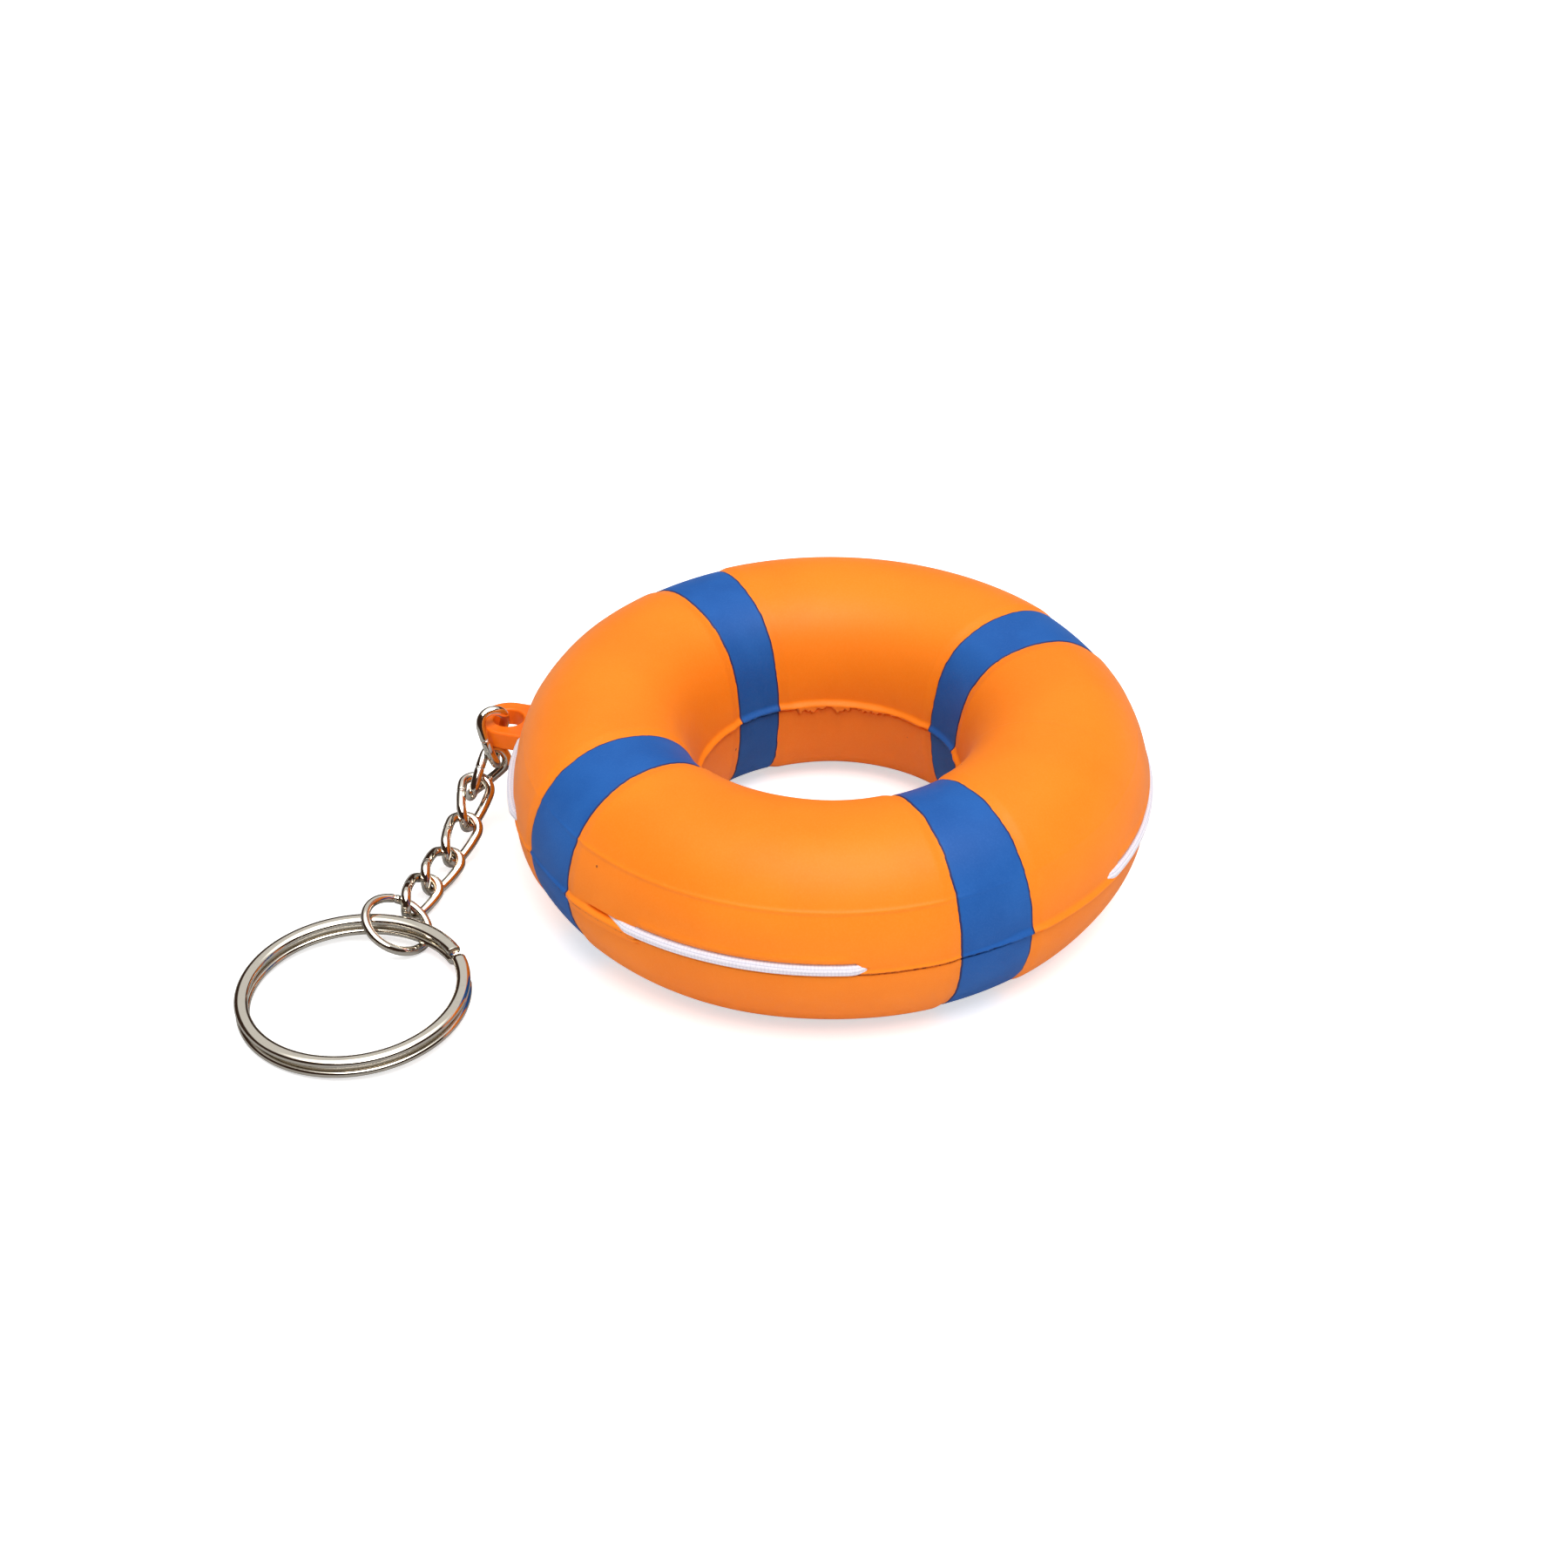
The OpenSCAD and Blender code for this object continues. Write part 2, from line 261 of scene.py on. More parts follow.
def outline(turn):
    """The tube's own outline at a turn in degrees, 0 outside and 90 on top: how
    far out and up it lies, and which way it faces."""
    t = np.radians(turn)
    c, s = np.cos(t), np.sin(t)
    into, low = np.maximum(-c, 0), np.maximum(-s, 0)
    power = (tube_power + 2 * fuller_low_hole * into * low
             + 2 * fuller_top_hole * into * np.maximum(s, 0)
             - 2 * leaner_low_rim * np.maximum(c, 0) * low)
    half_w = np.where(c < 0, hole_half_w, tube_half_w)
    out = half_w * np.sign(c) * np.abs(c) ** (2 / power)
    up = tube_half_h * np.sign(s) * np.abs(s) ** (2 / power)
    nx = np.sign(c) * np.abs(c) ** (2 - 2 / power) / half_w
    nz = np.sign(s) * np.abs(s) ** (2 - 2 / power) / tube_half_h
    length = np.hypot(nx, nz)
    return out, up, nx / length, nz / length


def hole_seam(azimuth, up):
    """How far the seam in the hole stands out: a lip with a torn lower edge, and
    a narrow cut just under it."""
    burr = sector(azimuth, first=82, last=122, ease=8)
    lip = hole_seam_h + 0.07 * wander(azimuth, pitch=7, seed=3) + burr_h * burr
    # how far below the seam's level the lip's lower edge lies
    tear = (0.20 + 0.50 * wander(azimuth, pitch=1.7, seed=7)
            + 0.22 * wander(azimuth, pitch=0.7, seed=8))
    edge = (0.14 + 0.05 * wander(azimuth, pitch=1.1, seed=5)
            + burr * np.clip(tear, -0.1, 0.75))
    above = hump(np.maximum(up, 0), width=0.36)
    below = 1 - smooth(edge, edge + 0.10, np.maximum(-up, 0))
    cut = hole_cut * hump(up + edge + 0.24, width=0.12)
    return lip * np.where(up > 0, above, below) - cut


def rim_seam(azimuth, up):
    """How far the outer seam stands out: a flap at the cord's left end, a fine
    line in front, a bead on the right, and the cut where the two halves meet."""
    fine = sector(azimuth, first=288, last=312, ease=4)
    wide = sector(azimuth, first=318, last=346, ease=6)
    flap = smooth(flap_start, flap_start + 12, azimuth) * (azimuth < flap_end)
    height = (rim_seam_h + bead_h * wide - fine_line_h * fine
              + 0.04 * wander(azimuth, pitch=5, seed=11))
    width = 0.22 + 0.16 * wide - 0.05 * fine
    edge = 0.10 + 0.62 * flap + 0.06 * wander(azimuth, pitch=0.9, seed=13)
    above = hump(np.maximum(up - 0.18 * flap, 0), width)
    below = 1 - smooth(edge, edge + 0.12, np.maximum(-up, 0))
    cut = rim_cut * hump(up + edge + 0.20, width=0.10)
    return (height + flap_h * flap) * np.where(up > 0, above, below) - cut


def along_cord(azimuth):
    """1 beside the stretches of cord that lie outside. Seen from there, each is
    sharp at its left end and runs out slowly at its right end."""
    half = cord_span / 2
    beside = np.zeros_like(azimuth)
    for middle in cord_angles:
        off = (azimuth - middle + 180) % 360 - 180
        begun = smooth(1.1 - half, 1.9 - half, off)
        ended = smooth(half - 1.4, half + 2.4, off)
        beside = np.maximum(beside, begun * (1 - ended))
    return beside


def rim_relief(azimuth, up):
    """The outer seam, broken by the cord's groove with its slit, tail and swell."""
    beside = along_cord(azimuth)
    rise = up - cord_lift
    in_groove = smooth(-0.82, -0.68, rise) * (1 - smooth(0.70, 0.86, rise))
    slit = sector(azimuth, first=240.0, last=249.5, ease=3.0) * hump(up - 0.60, width=0.13)
    tail = sector(azimuth, first=287.0, last=291.5, ease=2.0) * hump(up - 0.35, width=0.16)
    seam = rim_seam(azimuth, up) - slit_depth * slit - tail_depth * tail
    swell = swell_h * beside * hump(rise - 1.25, width=0.45)
    return seam * (1 - beside) - groove_depth * beside * in_groove + swell


def skin(azimuth, turn, raised=0.0):
    """Point of the lifebuoy's skin at a direction round the ring and a turn round
    the tube, both in degrees, raised off the foam by so many mm."""
    a = np.radians(azimuth)
    out, up, nx, nz = outline(turn)
    radius = ring_mid + out
    to_band = band_edge_distance(radius * np.cos(a), radius * np.sin(a))
    push = -band_waist * (1 - smooth(0.0, waist_slope, to_band))
    outside = nx > 0
    push = push + np.where(outside, rim_relief(azimuth, up), hole_seam(azimuth, up))

    # soft moulded line round the shoulder, plainest in front
    shoulder = hump((turn % 360 - shoulder_turn) * mm_a_degree, width=0.24)
    in_front = sector(azimuth, first=232, last=308, ease=16)
    push = push + shoulder_h * shoulder * (0.2 + 0.8 * in_front)
    # the cord on the left stands clear of the foam
    on_left = sector(azimuth, first=168, last=206, ease=16)
    push = push - left_hollow * on_left * outside * hump(up, width=7)
    # long, shallow unevenness of soft foam
    push = push + unevenness * wander(azimuth + 40 * nz, pitch=23, seed=17)
    push = push + raised
    radius = radius + push * nx
    z = np.maximum(up + push * nz, table_z)
    return np.stack([radius * np.cos(a), radius * np.sin(a), z], -1)


def outline_turns():
    """Turns round the tube, closer together at the seams and the shoulder line."""
    turns = np.concatenate([
        np.arange(0, 360, 3.0),
        np.arange(-7.5, 9.6, 0.36),
        180 + np.arange(-3.5, 7.6, 0.40),
        shoulder_turn + np.arange(-2.5, 2.6, 0.5),
    ])
    return np.unique(np.round(turns % 360, 3))


def foam_ring():
    azimuth, turn = np.meshgrid(np.arange(0, 360, 0.45), outline_turns(), indexing="ij")
    plain = skin(azimuth, turn)
    inside = -band_edge_distance(plain[..., 0], plain[..., 1])
    bed = -band_bed * smooth(0.15, 0.45, inside)
    return face_outward(tube_mesh("foam_ring_skin", skin(azimuth, turn, bed), closed=True))


def painted_band(index):
    """One band: a coat of paint whose edges wander and sink into the foam."""
    turn = np.unique(np.round(np.concatenate([outline_turns(), np.arange(0, 360, 1.5)]), 3))
    across = np.array([0, 0.012, 0.03, *np.linspace(0.06, 0.94, 25), 0.97, 0.988, 1])
    share, around = np.meshgrid(2 * across - 1, turn, indexing="ij")
    radius = ring_mid + outline(around)[0]
    half = band_half_width(radius)
    arc = around * mm_a_degree
    waver = [
        0.08 * wander(arc + 50 * side, pitch=1.7, seed=30 + index)
        + 0.05 * wander(arc, pitch=0.5, seed=40 + index)
        for side in (0, 1)
    ]
    y = share * half + np.where(share < 0, waver[0], waver[1]) * np.abs(share) ** 8
    x = np.sqrt(np.maximum(radius ** 2 - y ** 2, 1))
    angle = math.radians(band_angles[index])
    azimuth = np.degrees(np.arctan2(y, x) + angle) % 360
    margin = half * (1 - np.abs(share))
    coat = -band_edge + (band_paint + band_edge) * smooth(0.0, 0.16, margin)
    points = skin(azimuth, around, coat)
    piece = tube_mesh(f"blue_band_{index + 1}_paint", points, closed=False)
    give_values(piece, "margin", margin)
    face = piece.data.polygons[len(turn) * (len(across) // 2)]
    hub = Vector((math.cos(angle), math.sin(angle), 0)) * ring_mid * MM
    if face.normal.dot(face.center - hub) < 0:
        piece.data.flip_normals()
    return piece


# ------------------------------------------------------------------ grab cord
def at(direction, radius, centre=(0, 0)):
    """Point in plan at a direction in degrees and a radius from a centre."""
    a = math.radians(direction)
    return centre[0] + radius * math.cos(a), centre[1] + radius * math.sin(a)


def cord_route(step=0.35):
    """The cord's closed route in plan: a stretch along the outside, a bend inward,
    a straight run under a band and a bend outward, four times over."""
    points = []

    def arc(centre, radius, start, swept):
        count = max(3, int(abs(math.radians(swept)) * radius / step))
        for i in range(count):
            points.append(at(start + swept * i / count, radius, centre))

    def straight(end):
        start = np.array(points[-1])
        run = np.array(end) - start
        count = int(np.linalg.norm(run) / step)
        for i in range(1, count):
            points.append(tuple(start + run * i / count))

    following = cord_angles[1:] + [cord_angles[0] + 360]
    for middle, next_middle in zip(cord_angles, following):
        last = middle + cord_span / 2
        bend = (next_middle - middle - cord_span) / 2
        pivot_in = at(last, cord_r - cord_bend)
        pivot_out = at(last + 2 * bend, cord_r - cord_bend)
        arc((0, 0), cord_r, middle - cord_span / 2, cord_span)
        arc(pivot_in, cord_bend, last, bend)
        straight(at(last + bend, cord_bend, pivot_out))
        arc(pivot_out, cord_bend, last + bend, bend)
    return np.array(points)


def elastic_cord():
    plan = cord_route()
    path = np.column_stack([plan, np.full(len(plan), cord_lift)])
    upward = np.tile([0.0, 0.0, 1.0], (len(path), 1))
    around = np.linspace(0, TURN, cord_sides, endpoint=False)
    reach = cord_d / 2 - rib_depth * (1 - np.abs(np.cos(cord_ribs / 2 * around)) ** 0.7)
    profile = np.stack([cord_flat * reach * np.cos(around), reach * np.sin(around)], -1)
    points = sweep(path, profile, upward, closed=True)
    piece = tube_mesh("elastic_cord_braid", points, closed=True)
    length = np.cumsum(np.linalg.norm(path - np.roll(path, 1, 0), axis=1))
    give_values(piece, "along", np.repeat(length, cord_sides))
    give_values(piece, "round", np.tile(around, len(path)))
    return face_outward(piece)


# ----------------------------------------------------------------- eyelet tab
def eyelet_tab():
    """A moulded tab: rounded rim, a slightly dished face and a rounded hole. Its
    rim is round at the far end and runs straight into the foam."""
    angle = np.radians(np.arange(0, 360, 2.5))
    dx, dy = np.cos(angle), np.sin(angle)
    least = 0.001
    to_stem_end = (stem_end - eye.x) / np.maximum(dx, least)
    to_side = (eye_d / 2) / np.maximum(np.abs(dy), least)
    rim = np.where(dx > least, np.minimum(to_stem_end, to_side), eye_d / 2)
    hole = np.full_like(angle, eye_hole / 2)

    # each row: its share of the way from hole to rim, mm beyond that, and height
    half, soft = tab_t / 2, tab_rounding
    turns = np.radians(np.linspace(0, 90, 7))
    rim_low = [(1, soft * (math.sin(a) - 1), -half + soft * (1 - math.cos(a))) for a in turns]
    rim_top = [(1, soft * (math.cos(a) - 1), half - soft + soft * math.sin(a)) for a in turns]
    face = [(s, 0, half - tab_dish * math.sin(math.pi * s)) for s in (0.7, 0.5, 0.3)]
    hole_top = [(0, soft * (1 - math.sin(a)), half - soft * (1 - math.cos(a))) for a in turns]
    hole_low = [(0, soft * (1 - math.cos(a)), -half + soft * (1 - math.sin(a))) for a in turns]
    rows = []
    for share, beyond, z in rim_low + rim_top + face + hole_top + hole_low:
        reach = hole + (rim - hole) * share + beyond
        rows.append(np.stack([eye.x + reach * dx, eye.y + reach * dy, np.full_like(dx, z)], -1))
    return face_outward(tube_mesh("eyelet_tab_moulding", np.array(rows), closed=True))


# ------------------------------------------------------------ chain and rings
def lie_of(node):
    """Middle of a CAD link and its axes: long towards -Y, wide towards +X, thin."""
    points = np.array([v.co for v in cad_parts[node].data.vertices], float) / MM
    points = np.unique(np.round(points, 4), axis=0)
    middle = points.mean(0)
    axes = np.linalg.eigh(np.cov((points - middle).T))[1]
    long_axis = axes[:, 2] * (-1 if axes[1, 2] > 0 else 1)
    wide_axis = axes[:, 1] * (-1 if axes[0, 1] < 0 else 1)
    return middle, long_axis, wide_axis, np.cross(long_axis, wide_axis)


def track(share):
    """Point of a flat link's wire at a share of its length."""
    half_l, half_w = (link_l - link_wire) / 2, (link_w - link_wire) / 2
    flank = half_l - half_w
    bend = math.pi * half_w
    q = (share % 1) * (4 * flank + 2 * bend)
    if q < 2 * flank:
        return q - flank, -half_w
    if q < 2 * flank + bend:
        a = (q - 2 * flank) / half_w - math.pi / 2
        return flank + half_w * math.cos(a), half_w * math.sin(a)
    if q < 4 * flank + bend:
        return 3 * flank + bend - q, half_w
    a = (q - 4 * flank - bend) / half_w + math.pi / 2
    return -flank + half_w * math.cos(a), half_w * math.sin(a)


def chain_link(number, butt):
    """A twisted link of round wire, closed by a butt joint at a share of its length."""
    middle, u, v, w = lie_of(f"chain_link_{number}")
    shares = butt + np.linspace(butt_slit, 1 - butt_slit, 150)
    flat = np.array([track(share) for share in shares])
    turn = np.radians(link_twist / 2) * flat[:, 0] / ((link_l - link_wire) / 2)
    path = (middle + flat[:, :1] * u + (flat[:, 1] * np.cos(turn))[:, None] * v
            + (flat[:, 1] * np.sin(turn))[:, None] * w)
    normals = -np.sin(turn)[:, None] * v + np.cos(turn)[:, None] * w
    profile = round_wire(link_wire, len(path), sides=24, dulled=(0.05, 0.012))
    points = sweep(path, profile, normals, closed=False)
    piece = tube_mesh(f"chain_link_{number}_wire", points, closed=False, capped=True)
    return face_outward(piece)


def turned(points, x, y, z):
    """Points turned about X, then Y, then Z, in degrees."""
    turn = (Matrix.Rotation(math.radians(z), 3, "Z") @ Matrix.Rotation(math.radians(y), 3, "Y")
            @ Matrix.Rotation(math.radians(x), 3, "X"))
    return points @ np.array(turn).T


def middle_of(node):
    low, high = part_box(node)
    return np.array((low + high) / 2) / MM


def jump_ring():
    """A ring of round wire with a fine slit."""
    a = np.radians(jump_opening + np.linspace(jump_slit / 2, 360 - jump_slit / 2, 200))
    radius = (jump_d - jump_wire) / 2
    path = np.stack([radius * np.cos(a), radius * np.sin(a), 0 * a], -1)
    upward = np.tile([0.0, 0.0, 1.0], (len(a), 1))
    profile = round_wire(jump_wire, len(path), sides=28, dulled=(0.06, 0.015))
    points = turned(sweep(path, profile, upward, closed=False), *jump_lie)
    points = points + middle_of("jump_ring")
    return face_outward(tube_mesh("jump_ring_wire", points, closed=False, capped=True))


def split_ring():
    """Two turns of flattened wire, lying one on the other and joined by a step."""
    gone = np.linspace(0, split_reach, 960)
    rise = smooth(split_step, split_step + split_step_run, gone)
    a = np.radians(split_low_end - gone)
    radius = (split_d - split_wire_w) / 2
    z = (split_wire_t + split_gap) * (rise - 0.5)
    path = np.stack([radius * np.cos(a), radius * np.sin(a), z], -1)
    outward = np.stack([np.cos(a), np.sin(a), 0 * a], -1)
    around = np.linspace(0, TURN, 36, endpoint=False)
    c, s = np.cos(around), np.sin(around)
    profile = np.stack([split_wire_w / 2 * np.sign(c) * np.abs(c) ** (2 / split_power),
                        split_wire_t / 2 * np.sign(s) * np.abs(s) ** (2 / split_power)], -1)
    dulled = np.ones(len(a))
    dulled[[0, -1]] = 0.86
    dulled[[1, -2]] = 0.97
    points = sweep(path, profile * dulled[:, None, None], outward, closed=False)
    points = turned(points, *split_lean, 0) + middle_of("split_ring")
    return face_outward(tube_mesh("split_ring_wire", points, closed=False, capped=True))


# -------------------------------------------------------------------- finishes
class Value:
    """A number that may vary over a surface; operators on it add Math nodes."""

    def __init__(self, finish, socket):
        self.finish, self.socket = finish, socket

    def __add__(self, other):
        return self.finish.math("ADD", self, other)

    def __radd__(self, other):
        return self.finish.math("ADD", other, self)

    def __sub__(self, other):
        return self.finish.math("SUBTRACT", self, other)

    def __rsub__(self, other):
        return self.finish.math("SUBTRACT", other, self)

    def __mul__(self, other):
        return self.finish.math("MULTIPLY", self, other)

    def __rmul__(self, other):
        return self.finish.math("MULTIPLY", other, self)

    def __pow__(self, other):
        return self.finish.math("POWER", self, other)

    def __abs__(self):
        return self.finish.math("ABSOLUTE", self)

    def ramp(self, low, high):
        """0 at low, 1 at high, eased between; low may be the larger."""
        if low > high:
            return 1 - self.ramp(high, low)
        return self.finish.node("ShaderNodeMapRange", {"interpolation_type": "SMOOTHSTEP"},
                                {"Value": self, "From Min": low, "From Max": high})


class Finish:
    """One node material, or the world, and the calls that build it."""

    def __init__(self, name, tree=None):
        if tree is None:
            self.material = bpy.data.materials.new(name)
            self.material.use_nodes = True
            tree = self.material.node_tree
        self.tree = tree
        self.shader = tree.nodes.get("Principled BSDF")

    def put(self, socket, value):
        if isinstance(value, Value):
            self.tree.links.new(value.socket, socket)
        else:
            socket.default_value = value

    def node(self, kind, settings=None, values=None, output=0):
        """Adds a node: its type, its settings, then its sockets' values or links."""
        made = self.tree.nodes.new(kind)
        for name, value in (settings or {}).items():
            setattr(made, name, value)
        for name, value in (values or {}).items():
            self.put(made.inputs[name], value)
        return Value(self, made.outputs[output])

    def math(self, operation, *values):
        return self.node("ShaderNodeMath", {"operation": operation}, dict(enumerate(values)))

    def set(self, **values):
        """Sets the shader's own sockets, with underscores for spaces."""
        for name, value in values.items():
            self.put(self.shader.inputs[name.replace("_", " ")], value)

    def place(self):
        """Position in the object's own frame, in mm."""
        where = self.node("ShaderNodeTexCoord", output="Object")
        return self.node("ShaderNodeVectorMath", {"operation": "SCALE"},
                         {"Vector": where, "Scale": 1 / MM})

    def parts(self, vector):
        made = self.tree.nodes.new("ShaderNodeSeparateXYZ")
        self.put(made.inputs[0], vector)
        return [Value(self, output) for output in made.outputs]

    def noise(self, where, size, detail=2.0, rough=0.5):
        """Noise from 0 to 1 whose blotches are about size mm wide."""
        return self.node("ShaderNodeTexNoise", None,
                         {"Vector": where, "Scale": 1 / size, "Detail": detail,
                          "Roughness": rough})

    def blend(self, share, first, second):
        """From the first colour to the second; each is three numbers or a Value."""
        first, second = (c if isinstance(c, Value) else (*c, 1.0) for c in (first, second))
        first_colour, second_colour, blended = 6, 7, 2
        return self.node("ShaderNodeMix", {"data_type": "RGBA"},
                         {"Factor": share, first_colour: first, second_colour: second},
                         output=blended)

    def bump(self, height, depth, strength):
        """A Normal from a height from 0 to 1 that stands for depth mm."""
        return self.node("ShaderNodeBump", None,
                         {"Height": height, "Distance": depth * MM, "Strength": strength})

    def stored(self, name):
        return self.node("ShaderNodeAttribute", {"attribute_name": name}, output="Fac")


def outer_rim(x, y):
    """1 on the outer side of the lifebuoy, 0 in its hole."""
    return ((x * x + y * y) ** 0.5).ramp(33, 33.5)


def level_line(z, level, fades, plain):
    """1 within plain mm of a level, fading to 0 at fades mm from it."""
    return abs(z - level).ramp(fades, plain)


def cut_shade_line(z):
    """Painted shade in the cut just under the outer seam, where the mould's two halves met."""
    return level_line(z, -0.30, fades=0.17, plain=0.06)


def foam_finish():
    """Skinned polyurethane foam: fine grain, faint blotches, a few pinholes."""
    deep_orange, orange, chalky = (0.90, 0.204, 0.0030), (0.95, 0.232, 0.006), (1.0, 0.38, 0.07)
    pinhole_brown, nick_red = (0.25, 0.04, 0.01), (0.36, 0.05, 0.01)
    cut_shade_brown, contact_shade_red = (0.18, 0.025, 0.006), (0.42, 0.045, 0.008)
    f = Finish("orange_foam_skin")
    where = f.place()
    x, y, z = f.parts(where)
    blotch = f.noise(where, size=14, detail=3)
    grain = f.noise(where, size=0.22, detail=3, rough=0.6)
    fleck = f.noise(where, size=0.9)
    base = f.blend(blotch.ramp(0.3, 0.7), deep_orange, orange)
    base = f.blend(grain.ramp(0.35, 0.8) * 0.12, base, chalky)
    # sparse pinholes left by bubbles under the skin
    bubbles = {"Vector": where, "Scale": 1 / 5.5}
    to_middle = f.node("ShaderNodeTexVoronoi", None, bubbles, output="Distance")
    picked = f.parts(f.node("ShaderNodeTexVoronoi", None, bubbles, output="Color"))[0]
    pinhole = to_middle.ramp(0.034, 0.018) * picked.ramp(0.55, 0.56)
    base = f.blend(pinhole * 0.8, base, pinhole_brown)
    # dark nicks along the outer seam, and painted shade in the cut where the two halves part
    front = y.ramp(-24, -28) * outer_rim(x, y)
    nick = f.noise(where, nick_size, detail=1).ramp(0.52, 0.62)
    seam = level_line(z, -0.06, fades=0.11, plain=0.03) * front
    base = f.blend(seam * (0.15 + 0.45 * nick), base, nick_red)
    cut_shade = cut_shade_line(z) * front * x.ramp(-13, -11)
    base = f.blend(cut_shade * (0.45 + 0.50 * nick), base, cut_shade_brown)
    # painted contact shade: darker towards the foot, where the ring stands on the table
    base = f.blend(z.ramp(-8.9, -11.0) * 0.75, base, contact_shade_red)
    height = grain * 0.55 + fleck * 0.35 - pinhole * 1.5
    f.set(Base_Color=base, Roughness=0.46 + 0.10 * fleck,
          Normal=f.bump(height, depth=0.035, strength=0.55))
    f.set(Specular_IOR_Level=0.25, Sheen_Weight=0.05, Sheen_Roughness=0.4,
          Sheen_Tint=(1.0, 0.80, 0.72, 1.0))
    return f.material


def paint_finish():
    """Matt blue paint over the foam, with a dark line along its edges."""
    deep_blue, blue, pale_blue = (0.009, 0.088, 0.345), (0.013, 0.107, 0.395), (0.05, 0.17, 0.50)
    rim_brown = (0.030, 0.016, 0.05)
    nick_blue, cut_shade_blue = (0.008, 0.016, 0.09), (0.004, 0.008, 0.045)
    f = Finish("blue_band_paint")
    where = f.place()
    x, y, z = f.parts(where)
    blotch = f.noise(where, size=6, detail=3)
    grain = f.noise(where, size=0.20, detail=3, rough=0.6)
    base = f.blend(blotch.ramp(0.3, 0.7), deep_blue, blue)
    base = f.blend(grain.ramp(0.4, 0.8) * 0.15, base, pale_blue)
    base = f.blend(f.stored("margin").ramp(0.33, 0.16) * 0.85, base, rim_brown)
    rim = outer_rim(x, y)
    nick = f.noise(where, nick_size, detail=1).ramp(0.48, 0.6)
    seam = level_line(z, -0.07, fades=0.12, plain=0.04) * rim
    base = f.blend(seam * nick * 0.5, base, nick_blue)
    # painted shade in the cut just under the outer seam
    cut_shade = cut_shade_line(z) * rim
    base = f.blend(cut_shade * (0.35 + 0.60 * nick), base, cut_shade_blue)
    f.set(Base_Color=base, Roughness=0.48 + 0.10 * blotch,
          Normal=f.bump(grain, depth=0.03, strength=0.5))
    f.set(Specular_IOR_Level=0.22)
    return f.material


def cord_finish():
    """White elastic: threads laid crosswise round a ribbed core."""
    groove_shade_grey, between_thread_shade = (0.56, 0.53, 0.64), (0.46, 0.43, 0.56)
    white, fuzz_white = (0.79, 0.76, 0.82), (0.80, 0.775, 0.83)
    threads_a_mm, threads_round = 17, 2
    f = Finish("white_elastic_braid")
    along, around = f.stored("along"), f.stored("round")
    fuzz = f.noise(f.place(), size=0.12, detail=3)
    loose = f.noise(f.place(), size=0.7) * 5
    run, lean = along * threads_a_mm, around * threads_round + loose
    lay, counter = (f.math("SINE", angle) * 0.5 + 0.5 for angle in (run + lean, run - lean))
    thread = f.math("MAXIMUM", lay, counter)
    rib = abs(f.math("COSINE", around * (cord_ribs / 2)))
    # painted shade: darker in the grooves between the ribs and between the crossing threads
    base = f.blend(rib.ramp(0.0, 0.5), groove_shade_grey, white)
    base = f.blend(thread.ramp(0.4, 0.95), f.blend(0.25, base, between_thread_shade), base)
    base = f.blend(fuzz.ramp(0.5, 0.75) * 0.35, base, fuzz_white)
    f.set(Base_Color=base, Roughness=0.78 + 0.1 * fuzz,
          Normal=f.bump(thread * 0.5 + fuzz * 0.5, depth=0.03, strength=0.6))
    f.set(Specular_IOR_Level=0.25, Sheen_Weight=0.25, Sheen_Roughness=0.4)
    return f.material


def tab_finish():
    """Moulded rubber, a little glossier and redder than the foam."""
    deep_orange, orange = (0.90, 0.155, 0.0035), (0.95, 0.185, 0.006)
    f = Finish("orange_tab_rubber")
    where = f.place()
    blotch = f.noise(where, size=2.2, detail=3)
    fine = f.noise(where, size=0.15)
    f.set(Base_Color=f.blend(blotch.ramp(0.3, 0.7), deep_orange, orange),
          Roughness=0.30 + 0.12 * blotch,
          Normal=f.bump(fine * 0.4 + blotch * 0.6, depth=0.04, strength=0.35))
    f.set(Specular_IOR_Level=0.25)
    return f.material


def metal_finish(name, tone, rough):
    """Bright nickel plate with tumbling marks and a trace of tarnish."""
    mark_brown = (0.36, 0.32, 0.27)
    f = Finish(name)
    where = f.place()
    cloud = f.noise(where, size=1.6, detail=3)
    marks = f.noise(where, size=0.25, detail=4, rough=0.65)
    dull = cloud.ramp(0.52, 0.75)
    base = f.blend(dull * 0.35, tone, tuple(0.82 * c for c in tone))
    base = f.blend(marks.ramp(0.62, 0.8) * 0.15, base, mark_brown)
    f.set(Base_Color=base, Metallic=1.0, Roughness=rough + 0.08 * dull + 0.04 * marks,
          Normal=f.bump(marks * 0.3 + cloud * 0.7, depth=0.005, strength=0.3))
    return f.material


# ------------------------------------------------------------------ the pieces
foam = foam_finish()
paint = paint_finish()
ring_steel = metal_finish("split_ring_nickel", tone=(0.75, 0.695, 0.60), rough=0.08)
wire_steel = metal_finish("chain_nickel", tone=(0.75, 0.70, 0.61), rough=0.05)

skin_piece = dress(foam_ring(), "lifebuoy", foam, "orange_foam", "foam_ring")
for i in range(len(band_angles)):
    dress(painted_band(i), "lifebuoy", paint, "blue_paint", f"blue_band_{i + 1}")
dress(elastic_cord(), "lifebuoy", cord_finish(), "white_elastic", "elastic_cord")
dress(eyelet_tab(), "lifebuoy", tab_finish(), "orange_rubber", "eyelet_tab")
for i, butt in enumerate(butt_joints):
    dress(chain_link(i + 1, butt), f"link_{i + 1}", wire_steel, "nickel_plated_steel",
          f"chain_link_{i + 1}")
dress(jump_ring(), "jump_ring", wire_steel, "nickel_plated_steel", "jump_ring")
dress(split_ring(), "split_ring", ring_steel, "nickel_plated_steel", "split_ring")


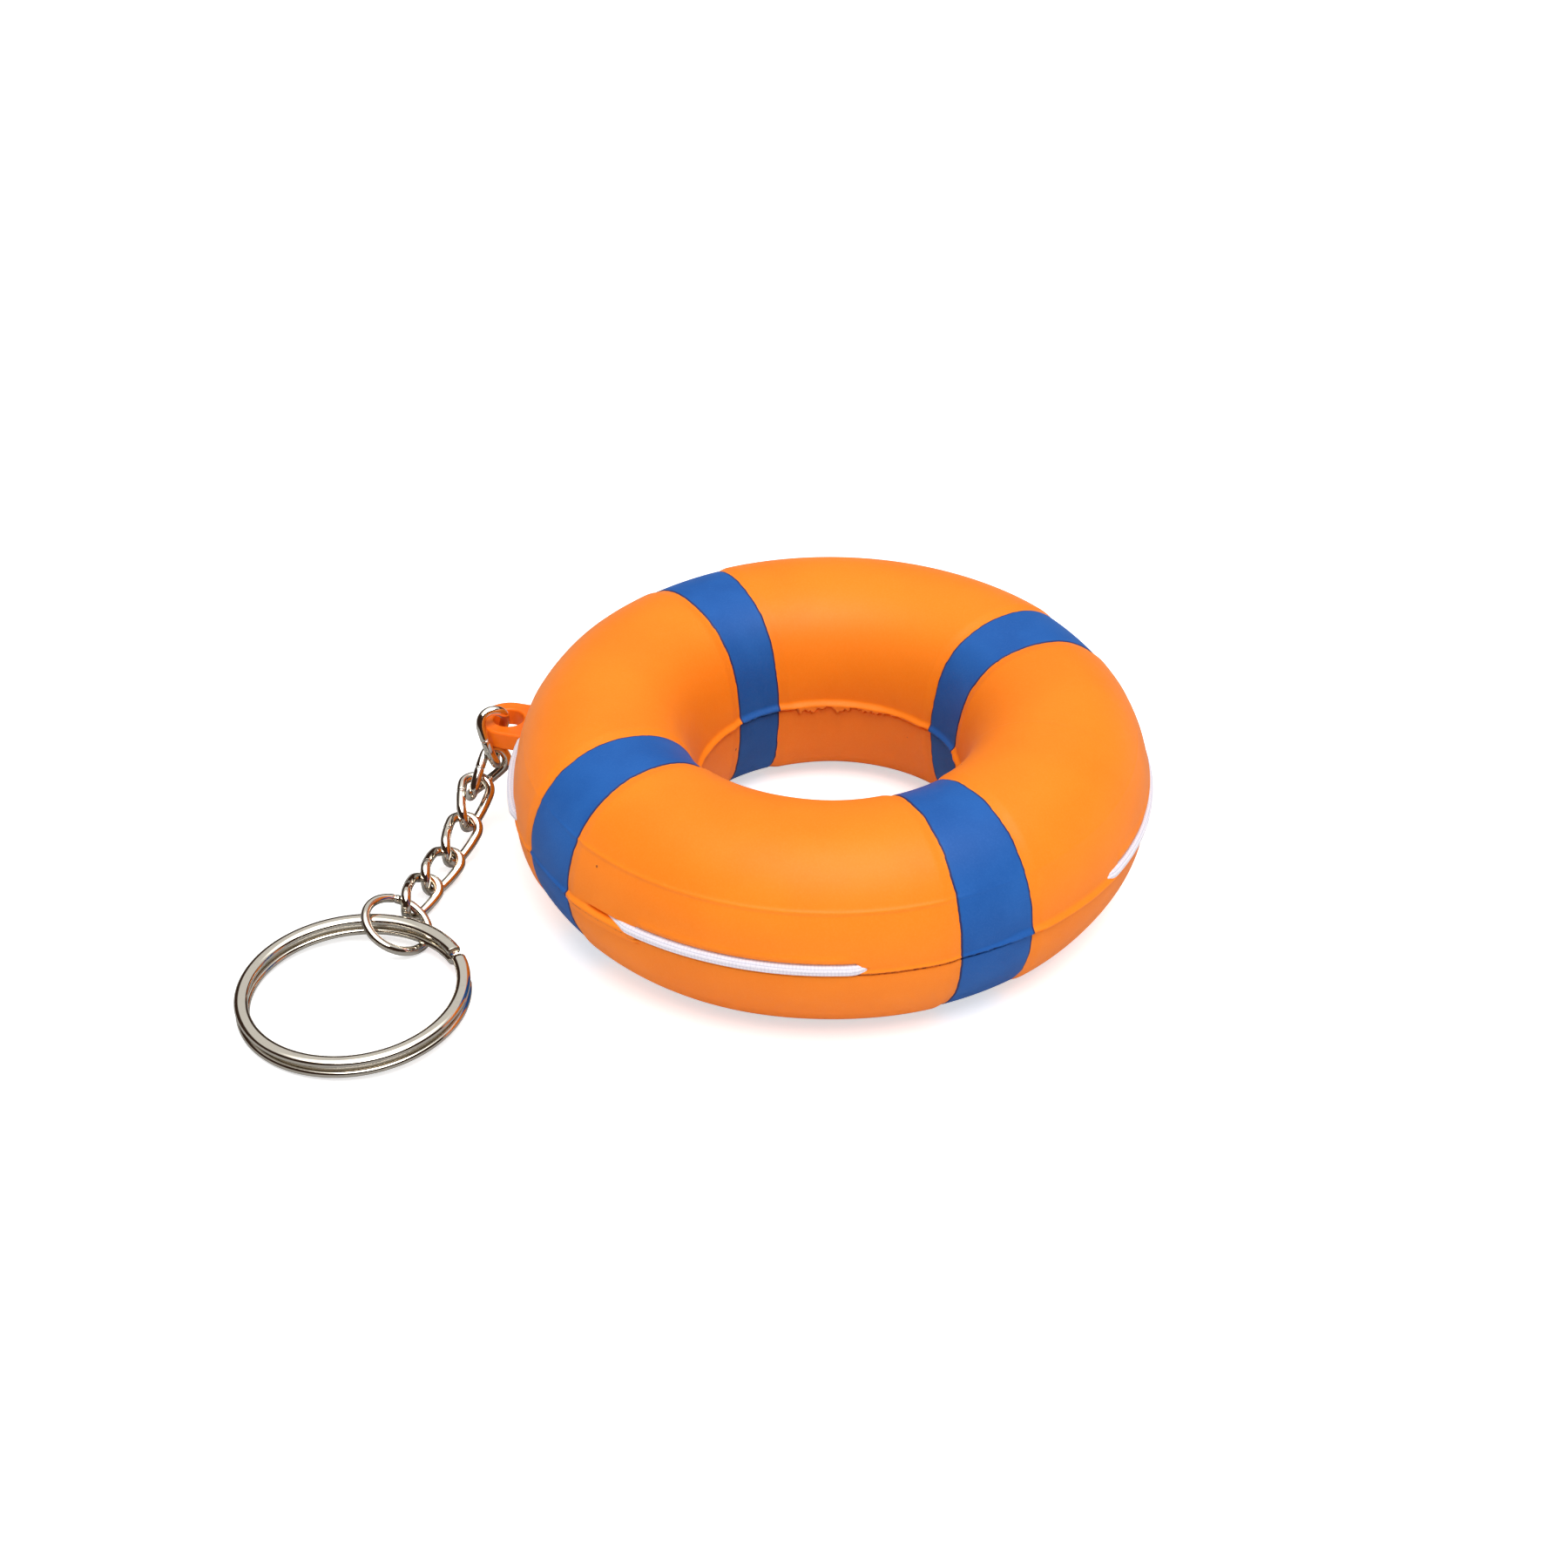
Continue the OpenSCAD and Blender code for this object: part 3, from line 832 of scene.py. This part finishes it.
# ------------------------------------------------- table, light, sky and camera
def ray_kinds(f):
    """1 for what the eye sees straight or through glass, and 1 for mirrored rays."""
    path = f.tree.nodes.new("ShaderNodeLightPath")
    straight, glossy, through = (
        Value(f, path.outputs[name])
        for name in ("Is Camera Ray", "Is Glossy Ray", "Is Transmission Ray")
    )
    return f.math("MAXIMUM", straight, through), glossy


def table_finish():
    """Pale table that keeps its shadows: white to the eye, and grey in the metal."""
    f = Finish("white_table")
    f.tree.nodes.remove(f.shader)
    mottle = f.noise(f.place(), size=30)
    lit, shown, mirrored = (
        f.node("ShaderNodeBsdfDiffuse", None,
               {"Color": f.blend(mottle, (grey,) * 3, (grey + 0.02,) * 3)})
        for grey in (0.88, 0.79, 0.32)
    )
    glow = f.node("ShaderNodeEmission", None, {"Color": (1, 1, 1, 1), "Strength": 0.58})
    shown = f.node("ShaderNodeAddShader", None, {0: shown, 1: glow})
    seen, glossy = ray_kinds(f)
    plain = f.node("ShaderNodeMixShader", None, {0: seen, 1: lit, 2: shown})
    table = f.node("ShaderNodeMixShader", None, {0: glossy, 1: plain, 2: mirrored})
    f.put(f.tree.nodes["Material Output"].inputs["Surface"], table)
    return f.material


def white_table():
    reach = np.array([0.0001, 40, 90, 160, 300, 700, 3000])
    reach, angle = np.meshgrid(reach, np.linspace(0, TURN, 96, endpoint=False), indexing="ij")
    points = np.stack([reach * np.cos(angle), reach * np.sin(angle),
                       np.full_like(reach, table_z - 0.02)], -1)
    table = tube_mesh("white_table", points, closed=False)
    if table.data.polygons[-1].normal.z < 0:
        table.data.flip_normals()
    table.data.materials.append(table_finish())


def studio_sky():
    """White all round to the eye; metal also sees the dark side of the room, from
    just above the table up to a height, and a bright softbox overhead."""
    room_white, room_dark = (1.0, 0.995, 0.985), (0.055, 0.030, 0.020)
    world = bpy.data.worlds.new("studio")
    bpy.context.scene.world = world
    world.use_nodes = True
    f = Finish("studio", world.node_tree)
    x, y, z = f.parts(f.node("ShaderNodeTexCoord", output="Generated"))
    front = (0.28 * x - 0.96 * y).ramp(-0.3, 0.6)
    flank = abs(0.96 * x + 0.28 * y).ramp(0.25, 0.60)
    dark = z.ramp(-0.02, 0.03) * (z - 0.42 * front - 0.18 * flank).ramp(0.49, 0.43)
    overhead = z.ramp(0.80, 0.94)
    seen, glossy = ray_kinds(f)
    strength = (0.54 + 0.10 * overhead) * (1 - glossy) + (0.74 + 2.4 * overhead) * glossy
    strength = strength * (1 - seen) + seen
    back = world.node_tree.nodes["Background"]
    f.put(back.inputs["Color"], f.blend(dark * glossy, room_white, room_dark))
    f.put(back.inputs["Strength"], strength)


def soft_lamp(name, toward, strength, angle):
    """A wide sun: light from one side that stays even over the whole table."""
    data = bpy.data.lights.new(name, "SUN")
    data.energy = strength
    data.angle = math.radians(angle)
    lamp = bpy.data.objects.new(name, data)
    lamp.rotation_euler = Vector(toward).to_track_quat("Z", "Y").to_euler()
    bpy.context.scene.collection.objects.link(lamp)


def camera():
    """Looks down on the ring from in front and a little to the right."""
    stand = Vector((80.63, -291.78, 210.32))
    aim = Vector((-4.41, -2.82, 0.14))
    roll = math.radians(-0.341)
    ahead = (aim - stand).normalized()
    level = ahead.cross(Vector((0, 0, 1))).normalized()
    up = level.cross(ahead)
    right = level * math.cos(roll) + up * math.sin(roll)
    top = right.cross(ahead)
    data = bpy.data.cameras.new("camera")
    data.sensor_width = 36.0
    data.lens = 76.82
    data.clip_start = 0.01
    seer = bpy.data.objects.new("camera", data)
    turn = Matrix((right, top, -ahead)).transposed().to_4x4()
    seer.matrix_world = Matrix.Translation(stand * MM) @ turn
    bpy.context.scene.collection.objects.link(seer)
    bpy.context.scene.camera = seer


white_table()
studio_sky()
soft_lamp("key_softbox", toward=(0.20, -0.26, 0.95), strength=2.45, angle=45)
camera()
bpy.context.scene.view_settings.view_transform = "Standard"
